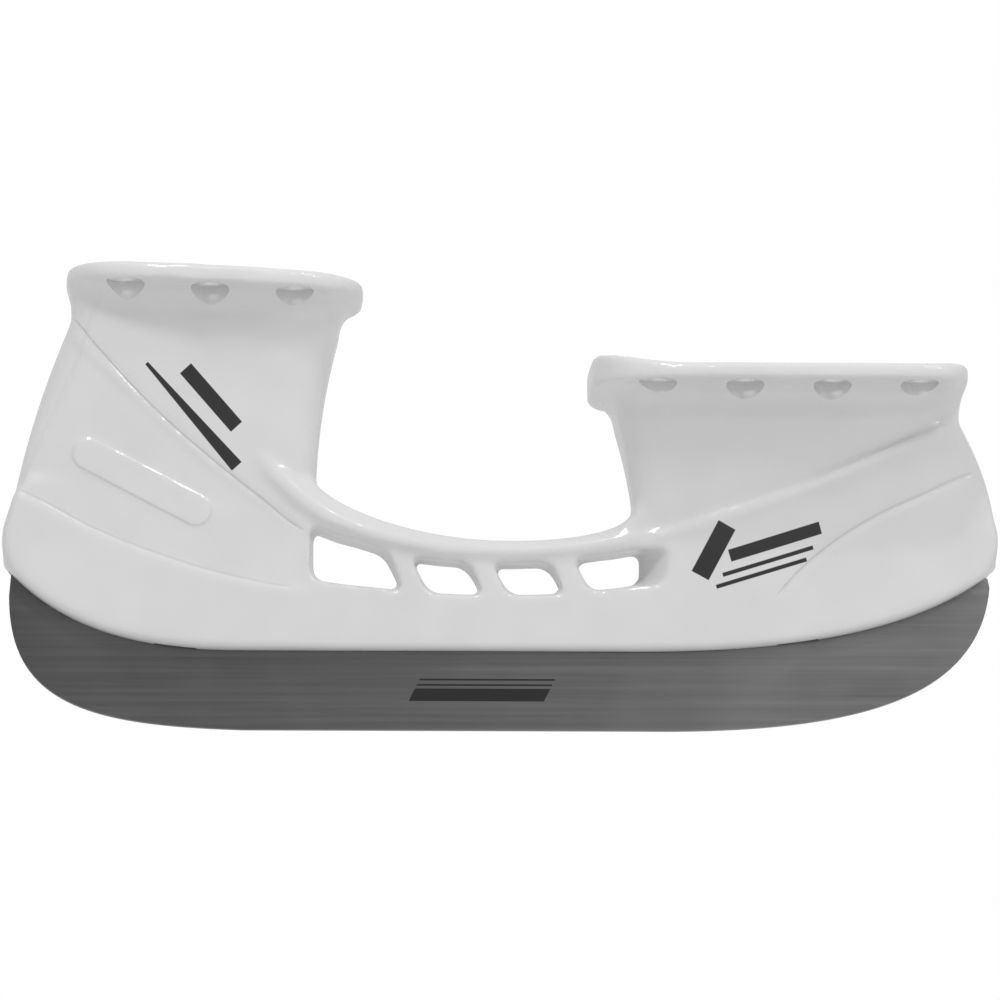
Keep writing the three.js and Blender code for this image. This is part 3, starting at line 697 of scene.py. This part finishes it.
def nylon():
    """Moulded nylon: grey-white and glossy, its thin edges a little translucent.

    The eye gets a soft reflection broken by the fine grain of the mould, faint flow marks and
    light scuffs, crisp edges on the moulding's ledges, grooves and plain raised plate, and
    black printed bars.
    """
    material, tree, shader = new_material("Moulded nylon")
    shader.inputs["IOR"].default_value = 1.53
    shader.inputs["Subsurface Weight"].default_value = 0.12
    shader.inputs["Subsurface Radius"].default_value = (1.0, 0.95, 0.9)
    shader.inputs["Subsurface Scale"].default_value = 0.0015
    coordinates = add(tree, "ShaderNodeTexCoord").outputs
    place = coordinates["Object"]
    axes = add(tree, "ShaderNodeSeparateXYZ", (place,)).outputs
    x, y, z = axes["X"], axes["Y"], axes["Z"]
    share = add(tree, MATH, (x, 1 / (LENGTH * MM), 0.5), operation="MULTIPLY_ADD")

    def near_line(points, half_width, first, last):
        """1 on a line of (x, z) points, 0 from half_width away; only between two X."""
        curve = add(tree, "ShaderNodeFloatCurve", {"Value": share})
        line = curve.mapping.curves[0]
        pairs = [(px / LENGTH + 0.5, pz / LENGTH) for px, pz in points]
        line.points[0].location, line.points[1].location = pairs[0], pairs[-1]
        for pair in pairs[1:-1]:
            line.points.new(*pair)
        curve.mapping.update()
        above = add(tree, MATH, (curve, -LENGTH * MM, z), operation="MULTIPLY_ADD")
        away = add(tree, MATH, (above,), operation="ABSOLUTE")
        fade = 400.0  # the line's ends fade over 2.5 mm
        on = None
        for value, slope, start in (
            (away, -1 / (half_width * MM), 1.0), (x, fade, -first * MM * fade),
            (x, -fade, last * MM * fade),
        ):
            part = add(
                tree, MATH, (value, slope, start), operation="MULTIPLY_ADD", use_clamp=True,
            )
            on = part if on is None else add(tree, MATH, (on, part), operation="MULTIPLY")
        return on

    def turned(x0, z0, angle):
        """Distances along and across a direction in the side view, from (x0, z0)."""
        local = add(tree, "ShaderNodeMapping", {
            "Vector": place, "Location": (x0 * MM, 0.0, z0 * MM), "Rotation": (0.0, -angle, 0.0),
        }, vector_type="TEXTURE")
        outputs = add(tree, "ShaderNodeSeparateXYZ", (local,)).outputs
        return outputs["X"], outputs["Z"]

    def bar(x0, z0, angle, length, width, taper):
        """1 inside a slanted bar from (x0, z0) whose width changes along it."""
        along, across = turned(x0, z0, math.radians(angle))
        sharp = 9000.0  # the print's edge is 0.1 mm wide
        half = add(tree, MATH, (along, -taper / 2, width * MM / 2), operation="MULTIPLY_ADD")
        beside = add(tree, MATH, (across,), operation="ABSOLUTE")
        left = add(tree, MATH, (half, beside), operation="SUBTRACT")
        inside = add(tree, MATH, (left, sharp), operation="MULTIPLY", use_clamp=True)
        begun = add(tree, MATH, (along, sharp), operation="MULTIPLY", use_clamp=True)
        over = add(
            tree, MATH, (along, -sharp, length * MM * sharp), operation="MULTIPLY_ADD",
            use_clamp=True,
        )
        within = add(tree, MATH, (begun, over), operation="MULTIPLY")
        return add(tree, MATH, (inside, within), operation="MULTIPLY")

    # Prints, grooves and ridges are only on the outer sides, which face away from the
    # mid-plane; the hollows' walls face towards it.
    facing = add(tree, "ShaderNodeSeparateXYZ", (coordinates["Normal"],)).outputs["Y"]
    outward = add(tree, MATH, (facing, y), operation="MULTIPLY")
    outer = add(tree, MATH, (outward, 0.0), operation="GREATER_THAN")

    # The mesh has these grooves and ridges; the bump sharpens them.
    groove = 0.0
    for line, depth, first, last in GROOVES:
        there = near_line(line, 0.55, first, last)
        deep = add(tree, MATH, (there, depth / DEEPEST), operation="MULTIPLY")
        groove = add(tree, MATH, (groove, deep), operation="MAXIMUM")
    edge = add(
        tree, MATH, (near_line(HEEL_RIDGE, 2.1, -107, -86), near_line(SHOULDER, 0.9, 71, 93)),
        operation="MAXIMUM",
    )
    along, across = turned(PLATE["x"], PLATE["z"], PLATE["tilt"])
    straight = (PLATE["half_length"] - PLATE["half_height"]) * MM
    reach = add(tree, MATH, (along,), operation="ABSOLUTE")
    beyond = add(tree, MATH, (reach, straight), operation="SUBTRACT")
    past = add(tree, MATH, (beyond, 0.0), operation="MAXIMUM")
    across_squared = add(tree, MATH, (across, across), operation="MULTIPLY")
    squared = add(tree, MATH, (past, past, across_squared), operation="MULTIPLY_ADD")
    away = add(tree, MATH, (squared,), operation="SQRT")
    steep = 2200.0  # the plate's edge rises over 0.45 mm
    rim = add(
        tree, MATH, (away, -steep, PLATE["half_height"] * MM * steep),
        operation="MULTIPLY_ADD", use_clamp=True,
    )
    ridges = add(tree, MATH, (edge, 0.8), operation="MULTIPLY")
    raised = add(tree, MATH, (rim, 0.7, ridges), operation="MULTIPLY_ADD")
    relief_height = add(tree, MATH, (raised, groove), operation="SUBTRACT")
    height = add(tree, MATH, (relief_height, outer), operation="MULTIPLY")

    # Flow unevenness, 12 mm across; mould grain, 0.35 mm (coarser than the real 0.05 mm, so
    # that it shows); scuffs as long thin scratches.
    flow = add(tree, "ShaderNodeTexNoise", {"Vector": place, "Scale": 80.0, "Detail": 1.0})
    grain = add(tree, "ShaderNodeTexNoise", {"Vector": place, "Scale": 2800.0, "Detail": 1.0})
    drawn = add(tree, "ShaderNodeMapping", {
        "Vector": place, "Rotation": (0.0, math.radians(24), 0.0), "Scale": (60.0, 900.0, 1500.0),
    })
    scratch = add(tree, "ShaderNodeTexNoise", {"Vector": drawn, "Scale": 1.0, "Detail": 3.0})
    scuff = add(tree, "ShaderNodeMapRange", {"Value": scratch, "From Min": 0.66, "From Max": 0.76})
    normal = None
    for strength, distance, source in (
        (0.6, 0.0004, height), (0.12, 0.0006, flow), (0.06, 0.00005, grain),
    ):
        bump = add(tree, "ShaderNodeBump", {
            "Strength": strength, "Distance": distance, "Height": source,
        })
        if normal is not None:
            tree.links.new(normal, bump.inputs["Normal"])
        normal = bump.outputs["Normal"]
    tree.links.new(normal, shader.inputs["Normal"])

    ink = 0.0
    for print_ in PRINTS:
        ink = add(tree, MATH, (ink, bar(*print_)), operation="MAXIMUM")
    ink = add(tree, MATH, (ink, outer), operation="MULTIPLY")
    worn = add(tree, MATH, (scuff, 0.25), operation="MULTIPLY")
    colour = linear("#dcdcdc")
    for factor, other in ((flow, "#d3d3d3"), (worn, "#c2c2c2"), (ink, "#1d1d1d")):
        colour = add(tree, "ShaderNodeMix", {
            "Factor": factor, "A": colour, "B": linear(other),
        }, data_type="RGBA").outputs["Result"]
    tree.links.new(colour, shader.inputs["Base Color"])
    gloss = add(tree, "ShaderNodeMapRange", {"Value": flow, "To Min": 0.12, "To Max": 0.2})
    rough = add(tree, MATH, (scuff, 0.2, gloss), operation="MULTIPLY_ADD")
    dull = add(tree, MATH, (ink, 0.4), operation="MULTIPLY")
    roughest = add(tree, MATH, (rough, dull), operation="MAXIMUM")
    tree.links.new(roughest.outputs[0], shader.inputs["Roughness"])
    return material


def ground_steel():
    """Stainless steel ground lengthwise: a dark silvery streak along the blade.

    The eye gets fine lines along X, cloudy patches of older polish, a colour that grows
    brighter towards the toe and a duller etched panel without lettering.
    """
    material, tree, shader = new_material("Ground stainless steel")
    shader.inputs["Metallic"].default_value = 1.0
    place = add(tree, "ShaderNodeTexCoord").outputs["Object"]
    # Grinding lines 0.24 mm apart and 25 mm long, broader bands and 35 mm clouds.
    stretched = add(tree, "ShaderNodeMapping", {"Vector": place, "Scale": (40.0, 800.0, 4200.0)})
    lines = add(tree, "ShaderNodeTexNoise", {"Vector": stretched, "Scale": 1.0, "Detail": 3.0})
    broad = add(tree, "ShaderNodeMapping", {"Vector": place, "Scale": (14.0, 300.0, 900.0)})
    bands = add(tree, "ShaderNodeTexNoise", {"Vector": broad, "Scale": 1.0, "Detail": 2.0})
    cloud = add(tree, "ShaderNodeTexNoise", {"Vector": place, "Scale": 28.0, "Detail": 3.0})
    patch = add(tree, "ShaderNodeMapRange", {
        "Value": cloud, "From Min": 0.45, "From Max": 0.75, "To Max": 0.35,
    })
    axes = add(tree, "ShaderNodeSeparateXYZ", (place,)).outputs
    # The colour is multiplied by a factor that grows from #b4b4b4 at the heel to white at the toe.
    along = add(tree, "ShaderNodeMapRange", {
        "Value": axes["X"], "From Min": -0.11, "From Max": 0.11, "To Max": 0.9,
    })
    toe_brightening = add(tree, "ShaderNodeMix", {
        "Factor": along, "A": linear("#b4b4b4"), "B": linear("#ffffff"),
    }, data_type="RGBA").outputs["Result"]

    # A slanted panel 30 mm long: one broad bar under two thin lines.
    lean = add(tree, MATH, (axes["Z"], -0.5, axes["X"]), operation="MULTIPLY_ADD")
    panel = add(tree, MATH, (lean, -0.0085, 0.0150), operation="COMPARE")
    bars = 0.0
    for middle, half in ((7.8, 1.4), (10.0, 0.2), (11.2, 0.2)):
        level = add(tree, MATH, (axes["Z"], middle * MM, half * MM), operation="COMPARE")
        bars = add(tree, MATH, (bars, level), operation="MAXIMUM")
    etched = add(tree, MATH, (panel, bars), operation="MULTIPLY")

    colour = linear("#6e6e6e")
    for factor, other, how in (
        (bands, linear("#969696"), "MIX"), (patch, linear("#a4a4a4"), "MIX"),
        (1.0, toe_brightening, "MULTIPLY"), (etched, linear("#3c3c3c"), "MIX"),
    ):
        colour = add(tree, "ShaderNodeMix", {
            "Factor": factor, "A": colour, "B": other,
        }, data_type="RGBA", blend_type=how).outputs["Result"]
    tree.links.new(colour, shader.inputs["Base Color"])
    rough = add(tree, "ShaderNodeMapRange", {"Value": lines, "To Min": 0.3, "To Max": 0.48})
    tree.links.new(rough.outputs[0], shader.inputs["Roughness"])
    bump = add(tree, "ShaderNodeBump", {"Strength": 0.25, "Distance": 0.00004, "Height": lines})
    tree.links.new(bump.outputs["Normal"], shader.inputs["Normal"])
    return material


def zinc():
    """Bright zinc plate on the fasteners: pale and slightly mottled."""
    material, tree, shader = new_material("Zinc-plated steel")
    shader.inputs["Metallic"].default_value = 1.0
    place = add(tree, "ShaderNodeTexCoord").outputs["Object"]
    spangle = add(tree, "ShaderNodeTexNoise", {"Vector": place, "Scale": 900.0, "Detail": 2.0})
    tone = add(tree, "ShaderNodeMix", {
        "Factor": spangle, "A": linear("#a9abae"), "B": linear("#c6c8ca"),
    }, data_type="RGBA")
    tree.links.new(tone.outputs["Result"], shader.inputs["Base Color"])
    rough = add(tree, "ShaderNodeMapRange", {"Value": spangle, "To Min": 0.22, "To Max": 0.4})
    tree.links.new(rough.outputs[0], shader.inputs["Roughness"])
    return material


NYLON, STEEL, ZINC = nylon(), ground_steel(), zinc()

finish_piece(make_holder(), "holder", NYLON, replaces=["holder"])
finish_piece(make_runner(), "runner", STEEL, replaces=["runner"])
for end in ("rear", "front"):
    for part in ("t_bolt", "washer", "spring_washer", "nut"):
        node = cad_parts[f"{end}_{part}"]
        node.data.materials.clear()
        node.data.materials.append(ZINC)


# ---- Floor, light and camera -------------------------------------------------------------
FLOOR_HALF_SIZE = 3.0
FLOOR_HEIGHT = -0.35
CAMERA_DISTANCE = 2.0
CAMERA_AZIMUTH = math.radians(-2.0)
CAMERA_ELEVATION = math.radians(-7.0)
CAMERA_TARGET = Vector((0.0, 0.0, 0.0515))
# Lamps: name, place, what it points at, size in metres and power in watts.
LAMPS = (
    ("crease", (-0.16, -0.67, 0.75), (0, 0, 0.06), (0.12, 0.12), 2.6),
    ("heel_edge", (0.42, -0.58, 0.80), (-0.05, 0, 0.06), (0.1, 0.1), 0.9),
    ("toe_side", (0.66, -0.66, 0.55), (0.1, 0, 0.05), (0.1, 0.2), 1.0),
)


def make_stage():
    """A plain pale floor. It lies below the camera, which looks slightly upwards."""
    material, _, shader = new_material("Pale floor")
    shader.inputs["Base Color"].default_value = linear("#f4f4f4")
    shader.inputs["Roughness"].default_value = 0.9
    bm = bmesh.new()
    bmesh.ops.create_grid(bm, x_segments=1, y_segments=1, size=FLOOR_HALF_SIZE)
    floor = piece("floor", bm)
    floor.data.transform(Matrix.Translation((0, 0, FLOOR_HEIGHT)))
    floor.data.materials.append(material)


def area_light(name, place, target, size, power):
    data = bpy.data.lights.new(name, "AREA")
    data.shape = "RECTANGLE"
    data.size, data.size_y = size
    data.energy = power
    lamp = bpy.data.objects.new(name, data)
    lamp.location = place
    aim = Vector(target) - Vector(place)
    lamp.rotation_euler = aim.to_track_quat("-Z", "Y").to_euler()
    bpy.context.collection.objects.link(lamp)


def make_lights():
    """A white studio: the backdrop is white, the light it throws on the object is softer."""
    world = bpy.data.worlds.new("studio")
    world.use_nodes = True
    tree = world.node_tree
    seen = tree.nodes["Background"]
    seen.inputs["Color"].default_value = linear("#ffffff")
    seen.inputs["Strength"].default_value = 1.0
    # The room is brighter above and dimmer below.
    way = add(tree, "ShaderNodeTexCoord").outputs["Generated"]
    axes = add(tree, "ShaderNodeSeparateXYZ", {"Vector": way})
    height = add(tree, "ShaderNodeMapRange", {
        "Value": axes.outputs["Z"], "From Min": -0.8, "From Max": 0.8,
        "To Min": 0.54, "To Max": 0.74,
    })
    thrown = add(tree, "ShaderNodeBackground", {"Color": linear("#ffffff"), "Strength": height})
    camera_ray = add(tree, "ShaderNodeLightPath").outputs["Is Camera Ray"]
    mixed = add(tree, "ShaderNodeMixShader", (camera_ray, thrown, seen))
    tree.links.new(mixed.outputs[0], tree.nodes["World Output"].inputs["Surface"])
    bpy.context.scene.world = world
    for lamp in LAMPS:
        area_light(*lamp)


def make_camera():
    data = bpy.data.cameras.new("camera")
    data.lens, data.sensor_width = 324.0, 36.0
    camera = bpy.data.objects.new("camera", data)
    level = math.cos(CAMERA_ELEVATION)
    back = Vector((
        math.sin(CAMERA_AZIMUTH) * level, -math.cos(CAMERA_AZIMUTH) * level,
        math.sin(CAMERA_ELEVATION),
    ))
    camera.location = CAMERA_TARGET + back * CAMERA_DISTANCE
    camera.rotation_euler = (-back).to_track_quat("-Z", "Y").to_euler()
    bpy.context.collection.objects.link(camera)
    bpy.context.scene.camera = camera


bpy.context.scene.view_settings.view_transform = "Standard"
make_stage()
make_lights()
make_camera()
